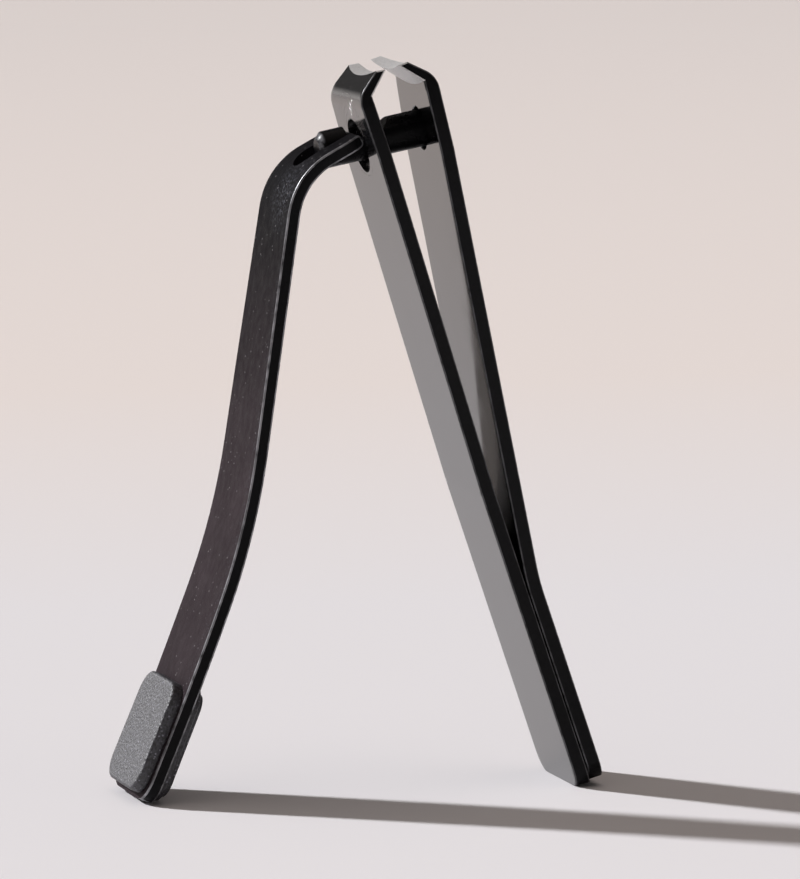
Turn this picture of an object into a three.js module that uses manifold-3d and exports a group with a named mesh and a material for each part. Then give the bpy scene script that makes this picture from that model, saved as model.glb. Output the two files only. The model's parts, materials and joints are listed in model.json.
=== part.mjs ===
// Toenail clipper standing open as an A-frame: the lever is one leg, the two blade arms are the other.
// Millimetres, +Z up, origin on the ground under the middle of the object.
// X runs from the lever to the blade arms, and Y runs across their width.
import * as THREE from 'three';
import { mergeVertices } from 'three/addons/utils/BufferGeometryUtils.js';
import Module from 'manifold-3d';

const wasm = await Module();
wasm.setup();

// ---------- driving dimensions ----------

// blade arms: two steel strips that lie flat together at the rear and part towards the jaws
const ARM_WIDTH = 14.5;
const ARM_THICKNESS = 1.55;
const ARM_GAP = 0.12; // between the two strips where they lie together
const REAR_LEAN = 18.8; // degrees from the vertical, where the strips lie together
const REAR_FOOT_X = 18.39; // where the upper strip's outer face meets the ground
const REAR_CORNER_RADIUS = 2;
const UPPER_LEAN = 17.42; // degrees from the vertical, from the bend to the jaw
const UPPER_BEND_Z = 32.8;
const LOWER_LEAN = 11.6;
const LOWER_BEND_Z = 23.2;
const ARM_BEND_RADIUS = 24;
const UPPER_JAW_CORNER_Z = 76.17; // the outer corner where the strip turns in to the jaw
const LOWER_JAW_CORNER_Z = 78.5;

// jaws, in the plane of the profile, as angles from the strip's own direction
const JAW_TURN = 53.4;
const JAW_TURN_RADIUS = 2.6;
const JAW_LENGTH = 3.6; // outer corner to the ground tip
const TIP_GRIND_TURN = 98;
const TIP_GRIND_LENGTH = 1.15;
const INNER_GRIND_TURN = 47.7;
const INNER_CORNER_RADIUS = 0.5;
const JAW_TAPER_START_Z = 71.6; // the sides narrow from here up to the cutting edge
const JAW_TOP_Z = 80;
const JAW_EDGE_WIDTH = 10.9;
const TAPER_SHOULDER_RADIUS = 8;
const EDGE_HOLLOW = 0.65; // how far the middle of the curved cutting edge lies below its ends
const GRIND_ALLOWANCE = 0.9; // extra length on the jaw before grinding

// pin: fixed through the lower strip, square to it, with a long notch on the side facing the jaws
const PIN_RADIUS = 2.05;
const PIN_SETBACK = 5.85; // from the lower jaw's outer corner, along the strip
const PIN_LENGTH = 13.3; // from the lower strip's outer face
const PIN_END_CHAMFER = 0.65;
const PIN_HEAD_RADIUS = 3.2;
const PIN_HEAD_HEIGHT = 1;
const PIN_HEAD_GAP = 0.12;
const LOWER_HOLE_RADIUS = 2.4;
const UPPER_HOLE_RADIUS = 3;
const UPPER_HOLE_DROP = 0.4; // the hole's middle sits below the pin, towards the rear
const NOTCH_FLOOR = 0.2; // above the pin's axis
const NOTCH_WALL_GAP = 0.15; // between the lever's bar and the notch's end wall
const NOTCH_RAMP_FROM_FACE = 5; // where the notch's far ramp comes up, from the lower strip's outer face

// lever: a flat strip with a slotted nose, one tight bend and one long easy bend
const LEVER_THICKNESS = 1.4;
const BAR_RADIUS = 0.45;
const BAR_STANDOFF = 0.76; // bar's middle to the upper strip's outer face
const BAR_ABOVE_PIN_AXIS = 0.8;
const NOSE_DROP = 28.3; // degrees below the horizontal
const NOSE_SETBACK = 0.49; // the rails' round ends start this far behind the bar
const NOSE_LENGTH = 3.56;
const NOSE_BEND = { length: 7.61, turn: 53.2 };
const GRIP_LENGTH = 26.05;
const GRIP_BEND = { length: 16.64, turn: -11.8 };
const FOOT_BEND = { length: 23.24, turn: -2.9 };
const SLOT_WIDTH = 4.7;
const SLOT_REAR = 6.9; // bar's middle to the slot's round end
const NOSE_CORNER_RADIUS = 2;
const FOOT_CORNER_RADIUS = 2.6;
const LEVER_HALF_WIDTHS = { nose: 6.15, bend: 6.4, grip: 7.05, foot: 7.6 };

// grip pads at the foot of the lever; the foot margin is the bare lever below a pad
const PAD_WIDTH = 13.6;
const PAD_CORNER_RADIUS = 2.6;
const PAD_EDGE_CHAMFER = 0.35;
const PAD_GAP = 0.06;
const OUTER_PAD = { side: -1, thickness: 1.2, length: 12.6, footMargin: 0.6 };
const INNER_PAD = { side: 1, thickness: 1.15, length: 13.1, footMargin: 0.45 };

// modelling settings
const ARC_STEP = THREE.MathUtils.degToRad(5);
const HOLE_SIDES = 64;
const BAR_SIDES = 32;
const EDGE_CURVE_STEPS = 20;
const CUT_OVERRUN = 2; // how far a cutting solid runs past the material
const VIEW_DEPTH = 200; // deeper than the whole object

// ---------- plane geometry ----------

const radians = THREE.MathUtils.degToRad;
const point = (x, z) => new THREE.Vector2(x, z);

// Unit vector that leans away from +Z towards -X by an angle in degrees.
const leaning = (degrees) => point(-Math.sin(radians(degrees)), Math.cos(radians(degrees)));

// The way up for the cutting edges, midway between the two arms.
const EDGE_RISE = leaning((UPPER_LEAN + LOWER_LEAN) / 2);

// Turns a corner list, each with its own radius, into points with round corners.
function roundCorners(corners) {
  const points = [];
  corners.forEach(({ at, radius = 0 }, i) => {
    if (!radius) {
      points.push(at.clone());
      return;
    }
    const before = corners[(i + corners.length - 1) % corners.length].at.clone().sub(at).normalize();
    const after = corners[(i + 1) % corners.length].at.clone().sub(at).normalize();
    const opening = Math.acos(THREE.MathUtils.clamp(before.dot(after), -1, 1));
    const reach = radius / Math.tan(opening / 2);
    const centre = before.clone().add(after).setLength(radius / Math.sin(opening / 2)).add(at);
    const start = before.clone().multiplyScalar(reach).add(at).sub(centre);
    const sweep = (Math.PI - opening) * Math.sign(after.cross(before));
    const steps = Math.max(2, Math.ceil(Math.abs(sweep) / ARC_STEP));
    for (let k = 0; k <= steps; k += 1) {
      points.push(start.clone().rotateAround(point(0, 0), (sweep * k) / steps).add(centre));
    }
  });
  return points;
}

// Walks a centreline through sections of given length and turn, and returns its stations.
function walk(start, headingDegrees, sections) {
  const stations = [{ at: start.clone(), heading: radians(headingDegrees), distance: 0 }];
  sections.forEach(({ length, turn = 0 }) => {
    const steps = Math.max(1, Math.ceil(Math.abs(radians(turn)) / ARC_STEP), turn ? 6 : 1);
    for (let k = 0; k < steps; k += 1) {
      const last = stations[stations.length - 1];
      const middle = last.heading + radians(turn) / steps / 2;
      const stride = length / steps;
      const step = point(Math.cos(middle), Math.sin(middle)).multiplyScalar(stride);
      stations.push({
        at: last.at.clone().add(step),
        heading: last.heading + radians(turn) / steps,
        distance: last.distance + stride,
      });
    }
  });
  return stations;
}

// The station at a given distance along a walked centreline.
function stationAt(stations, distance) {
  const next = Math.max(1, stations.findIndex((station) => station.distance >= distance - 1e-9));
  const [a, b] = [stations[next - 1], stations[next]];
  const share = (distance - a.distance) / (b.distance - a.distance);
  return {
    at: a.at.clone().lerp(b.at, share),
    heading: THREE.MathUtils.lerp(a.heading, b.heading, share),
    distance,
  };
}

const leanOf = ({ heading }) => THREE.MathUtils.radToDeg(heading) - 90;

const offset = ({ at, heading }, left) => (
  at.clone().add(point(-Math.sin(heading), Math.cos(heading)).multiplyScalar(left))
);

// Outline of the band between two offsets from a stretch of centreline.
function band(stations, from, to, right, left) {
  const inside = stations.filter(({ distance }) => distance > from + 1e-6 && distance < to - 1e-6);
  const stretch = [stationAt(stations, from), ...inside, stationAt(stations, to)];
  return [
    ...stretch.map((station) => offset(station, right)),
    ...stretch.reverse().map((station) => offset(station, left)),
  ];
}

// ---------- solids ----------

function toSolid(geometry) {
  geometry.deleteAttribute('normal');
  geometry.deleteAttribute('uv');
  const merged = mergeVertices(geometry, 1e-5);
  return new wasm.Manifold(new wasm.Mesh({
    numProp: 3,
    vertProperties: new Float32Array(merged.attributes.position.array),
    triVerts: new Uint32Array(merged.index.array),
  }));
}

function toGeometry(solid) {
  const { vertProperties, triVerts } = solid.getMesh();
  const geometry = new THREE.BufferGeometry();
  geometry.setAttribute('position', new THREE.BufferAttribute(vertProperties, 3));
  geometry.setIndex(new THREE.BufferAttribute(triVerts, 1));
  geometry.computeVertexNormals();
  return geometry;
}

// A profile in the XZ plane, extruded evenly to both sides of Y = 0.
function acrossY(outline, width) {
  const settings = { depth: width, bevelEnabled: false };
  const geometry = new THREE.ExtrudeGeometry(new THREE.Shape(outline), settings);
  geometry.rotateX(Math.PI / 2).translate(0, width / 2, 0);
  return toSolid(geometry);
}

// An outline drawn in the sheet that holds Y and the leaning direction, extruded evenly through that sheet.
function throughSheet(outline, origin, lean, depth) {
  const geometry = new THREE.ExtrudeGeometry(new THREE.Shape(outline), { depth, bevelEnabled: false });
  geometry.translate(0, 0, -depth / 2);
  const up = leaning(lean);
  geometry.applyMatrix4(new THREE.Matrix4().set(
    0, up.x, up.y, origin.x,
    1, 0, 0, 0,
    0, up.y, -up.x, origin.y,
    0, 0, 0, 1,
  ));
  return toSolid(geometry);
}

// A round rod in the XZ plane, from a point along a direction.
function rodAlong(start, direction, profile) {
  const geometry = new THREE.LatheGeometry(profile, HOLE_SIDES);
  const turn = new THREE.Quaternion().setFromUnitVectors(
    new THREE.Vector3(0, 1, 0),
    new THREE.Vector3(direction.x, 0, direction.y),
  );
  geometry.applyQuaternion(turn).translate(start.x, 0, start.y);
  return toSolid(geometry);
}

// A round rod across the object, its axis along Y.
function rodAcross(at, radius, length) {
  const geometry = new THREE.CylinderGeometry(radius, radius, length, BAR_SIDES);
  geometry.translate(at.x, 0, at.y);
  return toSolid(geometry);
}

const plainRod = (radius, from, to) => [
  point(0, from), point(radius, from), point(radius, to), point(0, to),
];

// ---------- the arms' layout ----------

const rearRise = leaning(REAR_LEAN);
const rearFoot = point(REAR_FOOT_X, 0);
// outward means away from the other arm
const upperOutward = (lean) => leaning(lean + 90);
const lowerOutward = (lean) => leaning(lean - 90);

function onLineAtZ(start, direction, z) {
  return direction.clone().multiplyScalar((z - start.y) / direction.y).add(start);
}

const upperBend = onLineAtZ(rearFoot, rearRise, UPPER_BEND_Z);
const upperJawCorner = onLineAtZ(upperBend, leaning(UPPER_LEAN), UPPER_JAW_CORNER_Z);
const armsDepth = 2 * ARM_THICKNESS + ARM_GAP;
const lowerRearFace = lowerOutward(REAR_LEAN).multiplyScalar(armsDepth).add(rearFoot);
const lowerBend = onLineAtZ(lowerRearFace, rearRise, LOWER_BEND_Z);
const lowerJawCorner = onLineAtZ(lowerBend, leaning(LOWER_LEAN), LOWER_JAW_CORNER_Z);

// The jaw's own lines. `side` is +1 where the other arm lies towards +X, and -1 where it lies towards -X.
function jawLayout(jawCorner, lean, side) {
  const inward = (degrees) => leaning(lean - side * degrees);
  const grindStart = inward(JAW_TURN).multiplyScalar(JAW_LENGTH).add(jawCorner);
  const tip = inward(TIP_GRIND_TURN).multiplyScalar(TIP_GRIND_LENGTH).add(grindStart);
  const depthPastFace = tip.clone().sub(jawCorner).dot(inward(90)) - ARM_THICKNESS;
  const innerLength = depthPastFace / Math.sin(radians(INNER_GRIND_TURN));
  return { inward, tip, innerLength };
}

// Side profile of one arm before its jaw is ground.
function armProfile(rearFace, bend, jawCorner, lean, side) {
  const { inward, tip, innerLength } = jawLayout(jawCorner, lean, side);
  const rearInside = leaning(REAR_LEAN - side * 90).multiplyScalar(ARM_THICKNESS);
  const halfTurn = radians(REAR_LEAN - lean) / 2;
  const mitre = leaning((REAR_LEAN + lean) / 2 - side * 90).setLength(ARM_THICKNESS / Math.cos(halfTurn));
  const lowered = EDGE_RISE.clone().multiplyScalar(-EDGE_HOLLOW).add(tip);
  return roundCorners([
    { at: rearFace },
    { at: bend, radius: ARM_BEND_RADIUS },
    { at: jawCorner, radius: JAW_TURN_RADIUS },
    { at: inward(JAW_TURN).multiplyScalar(JAW_LENGTH + GRIND_ALLOWANCE).add(jawCorner) },
    { at: inward(INNER_GRIND_TURN).multiplyScalar(GRIND_ALLOWANCE).add(lowered) },
    { at: inward(INNER_GRIND_TURN).multiplyScalar(-innerLength).add(lowered), radius: INNER_CORNER_RADIUS },
    { at: bend.clone().add(mitre), radius: ARM_BEND_RADIUS },
    { at: rearFace.clone().add(rearInside) },
  ]);
}

// A grinding cut through the cutting edge. Its surface is the hollow edge curve swept along a direction,
// and it removes what lies on one side of that: +1 above the curve, -1 below it.
function grindCut(tip, direction, back, removes) {
  const curve = Array.from({ length: EDGE_CURVE_STEPS + 1 }, (_, k) => {
    const share = (2 * k) / EDGE_CURVE_STEPS - 1;
    return point((share * JAW_EDGE_WIDTH) / 2, -EDGE_HOLLOW * (1 - share * share));
  });
  const removed = removes * (JAW_LENGTH + GRIND_ALLOWANCE);
  const outline = [point(-ARM_WIDTH, 0), ...curve, point(ARM_WIDTH, 0),
    point(ARM_WIDTH, removed), point(-ARM_WIDTH, removed)];
  const depth = back + CUT_OVERRUN;
  // the curve is the same both ways along Y, so Y may be flipped to keep the sweep right-handed
  const handed = Math.sign(EDGE_RISE.y * direction.x - EDGE_RISE.x * direction.y);
  const geometry = new THREE.ExtrudeGeometry(new THREE.Shape(outline), { depth, bevelEnabled: false });
  geometry.translate(0, 0, -back);
  geometry.applyMatrix4(new THREE.Matrix4().set(
    0, EDGE_RISE.x, direction.x, tip.x,
    handed, 0, 0, 0,
    0, EDGE_RISE.y, direction.y, tip.y,
    0, 0, 0, 1,
  ));
  return toSolid(geometry);
}

// Front view of an arm: full width with round rear corners, narrowing to the cutting edge.
function armFrontView(rearZ) {
  const half = ARM_WIDTH / 2;
  const edge = JAW_EDGE_WIDTH / 2;
  return roundCorners([
    { at: point(-half, rearZ), radius: REAR_CORNER_RADIUS },
    { at: point(half, rearZ), radius: REAR_CORNER_RADIUS },
    { at: point(half, JAW_TAPER_START_Z), radius: TAPER_SHOULDER_RADIUS },
    { at: point(edge, JAW_TOP_Z + 1) },
    { at: point(-edge, JAW_TOP_Z + 1) },
    { at: point(-half, JAW_TAPER_START_Z), radius: TAPER_SHOULDER_RADIUS },
  ]);
}

// ---------- shapes ----------

const pinAxis = leaning(LOWER_LEAN + 90);
const pinStart = leaning(LOWER_LEAN).multiplyScalar(-PIN_SETBACK).add(lowerJawCorner);
const pinUp = leaning(LOWER_LEAN);

// Where the pin's axis passes through the upper arm's outer face.
const upperRise = leaning(UPPER_LEAN);
const upperNormal = upperOutward(UPPER_LEAN);
const toUpperFace = upperJawCorner.clone().sub(pinStart).dot(upperNormal) / pinAxis.dot(upperNormal);
const pinAtUpperFace = pinAxis.clone().multiplyScalar(toUpperFace).add(pinStart);
const upperHoleCentre = upperRise.clone().multiplyScalar(-UPPER_HOLE_DROP).add(pinAtUpperFace);

// The lever's bar lies above the pin's axis, just clear of the upper arm.
const barSlide = (BAR_STANDOFF - BAR_ABOVE_PIN_AXIS * pinUp.dot(upperNormal)) / pinAxis.dot(upperNormal);
const bar = pinAxis.clone().multiplyScalar(barSlide)
  .add(pinUp.clone().multiplyScalar(BAR_ABOVE_PIN_AXIS))
  .add(pinAtUpperFace);

function makeArm(rearFace, bend, jawCorner, lean, side) {
  const blank = acrossY(armProfile(rearFace, bend, jawCorner, lean, side), ARM_WIDTH + CUT_OVERRUN);
  const frontView = throughSheet(armFrontView(rearFace.y), point(0, 0), 0, VIEW_DEPTH);
  const { inward, tip, innerLength } = jawLayout(jawCorner, lean, side);
  const tipGrind = grindCut(tip, inward(TIP_GRIND_TURN), TIP_GRIND_LENGTH + CUT_OVERRUN, 1);
  const innerGrind = grindCut(tip, inward(INNER_GRIND_TURN), innerLength, -1);
  return blank.intersect(frontView).subtract(tipGrind).subtract(innerGrind);
}

function makeUpperArm() {
  const arm = makeArm(rearFoot, upperBend, upperJawCorner, UPPER_LEAN, 1);
  const cutter = plainRod(UPPER_HOLE_RADIUS, -ARM_THICKNESS - CUT_OVERRUN, CUT_OVERRUN);
  return arm.subtract(rodAlong(upperHoleCentre, upperNormal, cutter));
}

function makeLowerArm() {
  const arm = makeArm(lowerRearFace, lowerBend, lowerJawCorner, LOWER_LEAN, -1);
  const cutter = plainRod(LOWER_HOLE_RADIUS, -CUT_OVERRUN, ARM_THICKNESS + CUT_OVERRUN);
  return arm.subtract(rodAlong(pinStart, pinAxis, cutter));
}

function makePin() {
  const end = PIN_LENGTH - PIN_END_CHAMFER;
  const shank = rodAlong(pinStart, pinAxis, [
    point(0, -PIN_HEAD_GAP - PIN_HEAD_HEIGHT),
    point(PIN_HEAD_RADIUS * 0.55, -PIN_HEAD_GAP - PIN_HEAD_HEIGHT),
    point(PIN_HEAD_RADIUS * 0.85, -PIN_HEAD_GAP - PIN_HEAD_HEIGHT * 0.72),
    point(PIN_HEAD_RADIUS, -PIN_HEAD_GAP - PIN_HEAD_HEIGHT * 0.3),
    point(PIN_HEAD_RADIUS, -PIN_HEAD_GAP),
    point(PIN_RADIUS, -PIN_HEAD_GAP),
    point(PIN_RADIUS, end),
    point(PIN_RADIUS - PIN_END_CHAMFER, PIN_LENGTH),
    point(0, PIN_LENGTH),
  ]);
  const barAlong = bar.clone().sub(pinStart).dot(pinAxis);
  const wall = barAlong + BAR_RADIUS + NOTCH_WALL_GAP;
  const onPin = (along, above) => pinAxis.clone().multiplyScalar(along)
    .add(pinUp.clone().multiplyScalar(above)).add(pinStart);
  const top = PIN_RADIUS + CUT_OVERRUN / 2;
  const notch = acrossY([
    onPin(wall, NOTCH_FLOOR),
    onPin(wall, top),
    onPin(NOTCH_RAMP_FROM_FACE - (top - PIN_RADIUS), top),
    onPin(NOTCH_RAMP_FROM_FACE + PIN_RADIUS - NOTCH_FLOOR, NOTCH_FLOOR),
  ], 4 * PIN_RADIUS);
  return shank.subtract(notch);
}

// The lever's centreline runs from its nose down to its foot.
const noseHeading = 180 + NOSE_DROP;
const noseAlong = point(Math.cos(radians(noseHeading)), Math.sin(radians(noseHeading)));
const noseStart = noseAlong.clone().multiplyScalar(NOSE_SETBACK).add(bar);
const leverLine = walk(noseStart, noseHeading, [
  { length: NOSE_LENGTH },
  NOSE_BEND,
  { length: GRIP_LENGTH },
  GRIP_BEND,
  FOOT_BEND,
]);
const leverEnd = leverLine[leverLine.length - 1];

function makeLever() {
  const half = LEVER_THICKNESS / 2;
  const blankWidth = 2 * LEVER_HALF_WIDTHS.foot + CUT_OVERRUN;
  const sheet = acrossY(band(leverLine, 0, leverEnd.distance, -half, half), blankWidth);
  const roundNose = rodAcross(noseStart, half, blankWidth);
  const { nose, bend, grip, foot } = LEVER_HALF_WIDTHS;
  const bendZ = stationAt(leverLine, NOSE_LENGTH + NOSE_BEND.length).at.y;
  const gripZ = stationAt(leverLine, NOSE_LENGTH + NOSE_BEND.length + GRIP_LENGTH * 0.75).at.y;
  const bothSides = (edge) => roundCorners([
    ...edge,
    ...edge.map(({ at, radius }) => ({ at: point(-at.x, at.y), radius })).reverse(),
  ]);
  const widths = throughSheet(bothSides([
    { at: point(foot, -CUT_OVERRUN) },
    { at: point(foot, gripZ / 2) },
    { at: point(grip, gripZ) },
    { at: point(bend, bendZ) },
    { at: point(nose, noseStart.y + CUT_OVERRUN) },
  ]), point(0, 0), 0, VIEW_DEPTH);

  // Seen square to the nose and to the foot, whose corners are round.
  const noseLean = leanOf(leverLine[0]);
  const front = NOSE_SETBACK - half;
  const far = 2 * leverEnd.distance;
  const noseView = throughSheet(bothSides([
    { at: point(nose, front), radius: NOSE_CORNER_RADIUS },
    { at: point(foot + 1, NOSE_LENGTH) },
    { at: point(foot + 1, far) },
  ]), bar, noseLean, far);
  const footView = throughSheet(bothSides([
    { at: point(foot + 1, -far) },
    { at: point(foot + 1, -INNER_PAD.length) },
    { at: point(foot, -INNER_PAD.length / 2) },
    { at: point(foot, 0), radius: FOOT_CORNER_RADIUS },
  ]), leverEnd.at, leanOf(leverEnd), far);
  const blank = sheet.add(roundNose).intersect(widths).intersect(noseView).intersect(footView);

  // The slot that the pin's end stands up through leaves a round bar across the nose.
  const slot = throughSheet(roundCorners([
    { at: point(-SLOT_WIDTH / 2, front - CUT_OVERRUN) },
    { at: point(SLOT_WIDTH / 2, front - CUT_OVERRUN) },
    { at: point(SLOT_WIDTH / 2, SLOT_REAR), radius: SLOT_WIDTH / 2 - 0.01 },
    { at: point(-SLOT_WIDTH / 2, SLOT_REAR), radius: SLOT_WIDTH / 2 - 0.01 },
  ]), bar, noseLean, LEVER_THICKNESS + 2 * CUT_OVERRUN);
  const crossBar = rodAcross(bar, BAR_RADIUS, SLOT_WIDTH + CUT_OVERRUN);
  return blank.subtract(slot).add(crossBar);
}

// A pad follows one face of the lever's foot; the face away from the lever has chamfered edges.
function makePad({ side, thickness, length, footMargin }) {
  const face = side * (LEVER_THICKNESS / 2 + PAD_GAP);
  const to = leverEnd.distance - footMargin;
  const from = to - length;
  const middle = stationAt(leverLine, (from + to) / 2);
  const layer = (inset, low, high) => {
    const [right, left] = [face + side * low, face + side * high].sort((a, b) => a - b);
    const outline = band(leverLine, from + inset, to - inset, right, left);
    const sheet = acrossY(outline, PAD_WIDTH + CUT_OVERRUN);
    const x = PAD_WIDTH / 2 - inset;
    const z = length / 2 - inset;
    const radius = PAD_CORNER_RADIUS - inset;
    const corners = [point(-x, -z), point(x, -z), point(x, z), point(-x, z)];
    const faceView = roundCorners(corners.map((at) => ({ at, radius })));
    return sheet.intersect(throughSheet(faceView, middle.at, leanOf(middle), 4 * CUT_OVERRUN));
  };
  const slope = thickness - PAD_EDGE_CHAMFER;
  return layer(0, 0, slope)
    .add(layer(PAD_EDGE_CHAMFER * 0.4, slope - 0.01, slope + PAD_EDGE_CHAMFER * 0.6))
    .add(layer(PAD_EDGE_CHAMFER, slope - 0.01, thickness));
}

// ---------- assembly ----------

const steel = (color, roughness) => new THREE.MeshStandardMaterial({ color, roughness, metalness: 0.6 });
const rubber = () => new THREE.MeshStandardMaterial({ color: 0x26272b, roughness: 0.85, metalness: 0 });

const clipper = new THREE.Group();

function addPiece(name, solid, material) {
  const mesh = new THREE.Mesh(toGeometry(solid), material);
  mesh.name = name;
  clipper.add(mesh);
}

addPiece('lower_arm', makeLowerArm(), steel(0x17171a, 0.28));
addPiece('upper_arm', makeUpperArm(), steel(0x17171a, 0.28));
addPiece('pin', makePin(), steel(0x1b1b1e, 0.4));
addPiece('lever', makeLever(), steel(0x201c1f, 0.45));
addPiece('outer_grip_pad', makePad(OUTER_PAD), rubber());
addPiece('inner_grip_pad', makePad(INNER_PAD), rubber());

const box = new THREE.Box3().setFromObject(clipper);
clipper.position.set(-(box.min.x + box.max.x) / 2, 0, -box.min.z);

export default clipper;
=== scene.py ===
"""Looks for the toenail clipper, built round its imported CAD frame.

Blender's lengths are metres. Shapes are worked out in millimetres and scaled by MM as they are made.
"""
import json
import math

import bmesh
import bpy
import mathutils
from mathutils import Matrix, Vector


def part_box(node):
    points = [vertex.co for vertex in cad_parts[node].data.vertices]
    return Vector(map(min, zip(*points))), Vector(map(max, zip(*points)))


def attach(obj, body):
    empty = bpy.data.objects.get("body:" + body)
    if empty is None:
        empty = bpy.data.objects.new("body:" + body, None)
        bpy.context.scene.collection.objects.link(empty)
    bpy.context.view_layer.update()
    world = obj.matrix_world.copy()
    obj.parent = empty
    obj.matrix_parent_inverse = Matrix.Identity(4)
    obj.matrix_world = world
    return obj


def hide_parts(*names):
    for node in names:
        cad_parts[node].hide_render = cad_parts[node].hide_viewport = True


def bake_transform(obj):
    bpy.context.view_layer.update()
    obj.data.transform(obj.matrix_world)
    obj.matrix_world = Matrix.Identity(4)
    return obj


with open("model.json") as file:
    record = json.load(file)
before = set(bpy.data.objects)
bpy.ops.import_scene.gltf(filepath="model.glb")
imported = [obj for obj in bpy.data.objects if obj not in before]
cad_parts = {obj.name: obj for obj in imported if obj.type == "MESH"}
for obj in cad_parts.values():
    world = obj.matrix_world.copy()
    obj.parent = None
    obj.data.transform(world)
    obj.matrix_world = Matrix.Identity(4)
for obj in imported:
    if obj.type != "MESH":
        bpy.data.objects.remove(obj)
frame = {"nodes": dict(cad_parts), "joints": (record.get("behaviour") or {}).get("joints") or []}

MM = 0.001
SCENE = bpy.context.scene
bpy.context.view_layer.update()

# the camera: where it looks from, how far off it stands and what it aims at
CAMERA_AZIMUTH = math.radians(-15.3)
CAMERA_ELEVATION = math.radians(6.31)
CAMERA_DISTANCE = 810.5 * MM
CAMERA_LENS_MM = 303.07
SENSOR_MM = 36
AIM = Vector((5.07, 0, 38.3)) * MM

# light
KEY_AZIMUTH = math.radians(228)
KEY_ELEVATION = math.radians(32)
KEY_STRENGTH = 4.3
KEY_SOFTNESS = math.radians(4)
KEY_COLOUR = (0.985, 0.98, 1)
TOP_WATTS = 7
TOP_HEIGHT = 1.5
TOP_SIZE = 2.2
TOP_TILT = math.radians(88)
TOP_COLOUR = (1, 0.86, 0.78)
WALL_COLOUR = (0.86, 0.81, 0.785, 1)
WALL_LIGHT = 0.92
CEILING_LIGHT = 0.1
CEILING_FADE = (0.04, 0.16)
FLOOR_HALF = 20
FLOOR_DROP = 0.02 * MM

# fine shape: edge roundings in millimetres, and how finely the curves are divided
ARM_ROUNDING = 0.16
LEVER_ROUNDING = 0.2
HOLE_COUNTERSINK = 0.1
ROUND_STEPS = 3
ARM_COLUMNS = 22
LEVER_COLUMNS = 16
JAW_ARC_STEPS = 16
BEND_STEPS = 8
STRAIGHT_STEPS = 8
REAR_CORNER_STEPS = 7
REAR_CLOSE_SPAN = 1.2
NOSE_STEPS = 12
HEAD_STEPS = 8
SLOT_STEPS = 24
PIN_SIDES = 96
BAR_SIDES = 48
CUT_OVERRUN = 1
LEAST_MITRE = 0.3
SHARP_ANGLE = math.radians(38)
SLIVER = 0.002 * MM
TAPER_SOFTNESS = 0.75
PIN_DOME_START = 0.15
PIN_HEAD_SOFTENING = 0.06
PIN_EASE_BACK, PIN_EASE_IN, PIN_TIP_BACK, PIN_TIP_IN = 0.15, 0.05, 0.1, 0.08
NOSE_ROUND_SHARE = 0.7
GRIP_AT, FOOT_WIDTH_AT = 0.42, 0.72
SLOT_PAST_NOSE = 3
SLOT_CUT_DEPTH = 2.9
BAR_OVERLAP = 0.4
# material slots: faces, side edges, worn edges with a painted highlight, ground steel
FACE, EDGE, WORN_HIGHLIGHT, GROUND = range(4)

# the design's driving sizes, in millimetres and degrees, with the values that the CAD model has
ARM_WIDTH = 14.5
ARM_THICKNESS = 1.55
ARM_GAP = 0.12
REAR_LEAN = 18.8
REAR_CORNER_RADIUS = 2
UPPER_LEAN, UPPER_BEND_Z, UPPER_JAW_Z = 17.42, 32.8, 76.17
LOWER_LEAN, LOWER_BEND_Z, LOWER_JAW_Z = 11.6, 23.2, 78.5
ARM_BEND_RADIUS = 24
JAW_TURN, JAW_TURN_RADIUS, JAW_LENGTH = 53.4, 2.6, 3.6
TIP_GRIND_TURN, TIP_GRIND_LENGTH = 98, 1.15
INNER_GRIND_TURN = 47.7
TAPER_START_Z, JAW_TOP_Z, JAW_EDGE_WIDTH = 71.6, 80, 10.9
EDGE_HOLLOW = 0.65
PIN_RADIUS, PIN_LENGTH, PIN_END_CHAMFER = 2.05, 13.3, 0.65
PIN_HEAD_RADIUS, PIN_HEAD_HEIGHT, PIN_HEAD_GAP = 3.2, 1, 0.12
PIN_HEAD_RIM = 0.3
LOWER_HOLE_RADIUS, UPPER_HOLE_RADIUS, UPPER_HOLE_DROP = 2.4, 3, 0.4
NOTCH_FLOOR, NOTCH_WALL_GAP, NOTCH_RAMP_FROM_FACE = 0.2, 0.15, 5
LEVER_THICKNESS, BAR_RADIUS = 1.4, 0.45
NOSE_DROP, NOSE_SETBACK, NOSE_LENGTH, BEND_LENGTH = 28.3, 0.49, 3.56, 7.61
NOSE_HALF_WIDTH, BEND_HALF_WIDTH, GRIP_HALF_WIDTH, FOOT_HALF_WIDTH = 6.15, 6.4, 7.05, 7.6
NOSE_CORNER_RADIUS, FOOT_CORNER_RADIUS = 2, 2.6
SLOT_WIDTH, SLOT_REAR = 4.7, 6.9

# the lever from its nose down: length, turn and number of steps; the last two make up the foot's bend
LEVER_SECTIONS = ((NOSE_LENGTH, 0, 6), (BEND_LENGTH, 53.2, 20), (26.05, 0, 8), (16.64, -11.8, 10),
                  (20.2, -2.52, 6), (3.04, -0.38, 12))

# grip pads: (inset from the outline, height above the back, or below the face where negative)
PAD_CORNER = 2.6 * MM
PAD_LEAST_CORNER = 0.3 * MM
PAD_CORNER_STEPS = 10
PAD_EDGE_ROUND, PAD_EDGE_STEPS = 0.38, 6
PAD_RIM_INSET, PAD_RIM_ROUND, PAD_RIM_STEPS = 0.62, 0.16, 3
AT_FACE = -0.0001
PAD_BACK = ((0.06, 0), (0, 0.06))
OUTER_PAD_FACE = ((1.2, AT_FACE), (3.2, AT_FACE))
INNER_PAD_SIDE = ((0, 0.55), (0.06, 0.68), (0.2, 0.76), (0.56, 0.80))
INNER_PAD_DISH = ((1.35, AT_FACE), (1.5, -0.04), (3.6, -0.3), (5.6, -0.42))
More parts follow.
